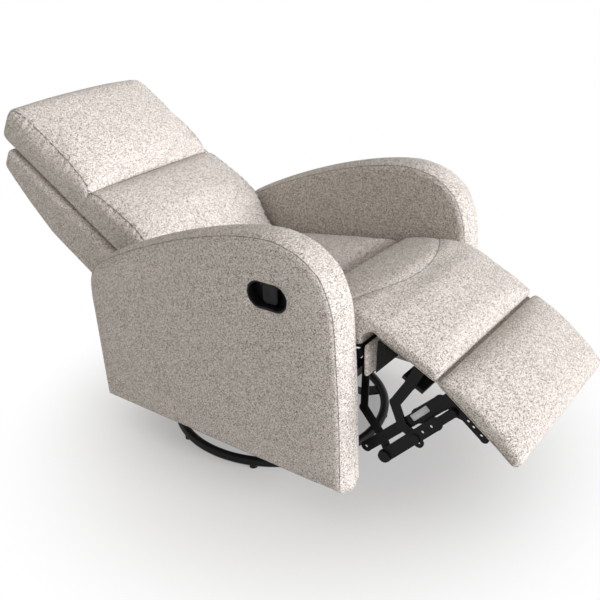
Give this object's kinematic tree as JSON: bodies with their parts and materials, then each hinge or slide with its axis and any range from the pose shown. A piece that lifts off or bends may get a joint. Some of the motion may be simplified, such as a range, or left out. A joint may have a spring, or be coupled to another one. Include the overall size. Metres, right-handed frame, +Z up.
{
  "type": "swivel glider recliner",
  "caption": "Upholstered reclining armchair with an extending footrest and a tilting back, on glide links over a round swivel base, worked by a pull paddle in one arm.",
  "frame": {"origin": "on the floor, on the swivel axis", "axes": "+Z up, -Y the way the chair faces, +X towards the sitter's left"},
  "size_m": [0.704, 1.5917, 0.8177],
  "materials": {
    "upholstery": "woven tweed",
    "black_steel": "satin powder coat",
    "bearing_steel": "ground",
    "spring_wire": "oiled",
    "black_plastic": "satin",
    "board": "raw plywood"
  },
  "bodies": {
    "base": {"base_ring": "black_steel", "base_cross": "black_steel", "base_glides": "black_plastic", "lower_race": "bearing_steel", "bearing_balls": "bearing_steel", "spindle": "bearing_steel"},
    "swivel": {"upper_race": "bearing_steel", "swivel_plate": "black_steel", "swivel_cross_rails": "black_steel", "hanger_left": "black_steel", "hanger_right": "black_steel"},
    "front_swing_links": {"front_swing_link_left": "black_steel", "front_swing_link_right": "black_steel"},
    "rear_swing_links": {"rear_swing_link_left": "black_steel", "rear_swing_link_right": "black_steel"},
    "carriage": {"glide_rail_left": "black_steel", "glide_rail_right": "black_steel", "front_cross_tube": "black_steel", "rear_cross_tube": "black_steel", "side_plate_left": "black_steel", "side_plate_right": "black_steel", "front_rail": "upholstery", "rear_rail": "upholstery", "arm_left": "upholstery", "arm_right": "upholstery", "seat_side_rails": "board", "seat_front_member": "board", "seat_rear_member": "board", "seat_springs": "spring_wire", "seat_cushion": "upholstery", "seat_front_roll": "upholstery", "front_apron": "upholstery", "release_bezel": "black_plastic", "leg_hinge_ears": "black_steel"},
    "paddle": {"release_paddle": "black_plastic"},
    "back": {"back_bracket_left": "black_steel", "back_bracket_right": "black_steel", "back_shell": "upholstery", "lumbar_cushion": "upholstery", "headrest_cushion": "upholstery"},
    "leg_rest": {"leg_board": "board", "leg_pad": "upholstery", "leg_bracket_left": "black_steel", "leg_bracket_right": "black_steel", "cross_board": "black_plastic"},
    "ottoman": {"ottoman_board": "board", "ottoman_pad": "upholstery", "ottoman_bracket_left": "black_steel", "ottoman_bracket_right": "black_steel"},
    "crank": {"crank_arm_left": "black_steel", "crank_arm_right": "black_steel", "crank_cross_left": "black_steel", "crank_cross_right": "black_steel"},
    "lower_bars": {"lower_bar_left": "black_steel", "lower_bar_right": "black_steel"},
    "upper_bars": {"upper_bar_left": "black_steel", "upper_bar_right": "black_steel"}
  },
  "joints": [
    {"name": "swivel", "type": "hinge", "parent": "base", "child": "swivel", "pos_m": [0, 0, 0.06], "axis": [0, 0, 1], "continuous": true},
    {"name": "glide", "type": "hinge", "parent": "swivel", "child": "front_swing_links", "pos_m": [0, -0.125, 0.1975], "axis": [1, 0, 0], "range_deg": [-20, 20]},
    {"name": "rear_swing", "type": "hinge", "parent": "swivel", "child": "rear_swing_links", "pos_m": [0, 0.125, 0.1975], "axis": [1, 0, 0], "range_deg": [-20, 20]},
    {"name": "carriage_level", "type": "hinge", "parent": "front_swing_links", "child": "carriage", "pos_m": [0, -0.125, 0.0975], "axis": [1, 0, 0], "range_deg": [-20, 20]},
    {"name": "recline", "type": "hinge", "parent": "carriage", "child": "back", "pos_m": [0, 0.235, 0.405], "axis": [1, 0, 0], "range_deg": [0, 45]},
    {"name": "footrest", "type": "hinge", "parent": "carriage", "child": "leg_rest", "pos_m": [0, -0.452, 0.462], "axis": [1, 0, 0], "range_deg": [0, 60.9]},
    {"name": "ottoman_turn", "type": "hinge", "parent": "leg_rest", "child": "ottoman", "pos_m": [0, -0.60132, 0.3911], "axis": [1, 0, 0], "range_deg": [0, 3.7]},
    {"name": "crank_turn", "type": "hinge", "parent": "carriage", "child": "crank", "pos_m": [0, -0.42506, 0.42993], "axis": [1, 0, 0], "range_deg": [0, 67]},
    {"name": "lower_bar_turn", "type": "hinge", "parent": "ottoman", "child": "lower_bars", "pos_m": [0, -0.65251, 0.3456], "axis": [1, 0, 0], "range_deg": [-8.6, 0]},
    {"name": "upper_bar_turn", "type": "hinge", "parent": "ottoman", "child": "upper_bars", "pos_m": [0, -0.6357, 0.3707], "axis": [1, 0, 0], "range_deg": [-16.3, 0]},
    {"name": "release_pull", "type": "hinge", "parent": "carriage", "child": "paddle", "pos_m": [-0.33908, -0.249, 0.583], "axis": [0, 1, 0], "range_deg": [0, 16], "stiffness_Nm_per_rad": 0.4}
  ],
  "couplings": [
    {"joint": "rear_swing", "follows": "glide", "ratio": 1},
    {"joint": "carriage_level", "follows": "glide", "ratio": -1},
    {"joint": "ottoman_turn", "follows": "footrest", "ratio": 0.0589},
    {"joint": "crank_turn", "follows": "footrest", "ratio": 1.097},
    {"joint": "lower_bar_turn", "follows": "footrest", "ratio": -0.1399},
    {"joint": "upper_bar_turn", "follows": "footrest", "ratio": -0.265}
  ]
}
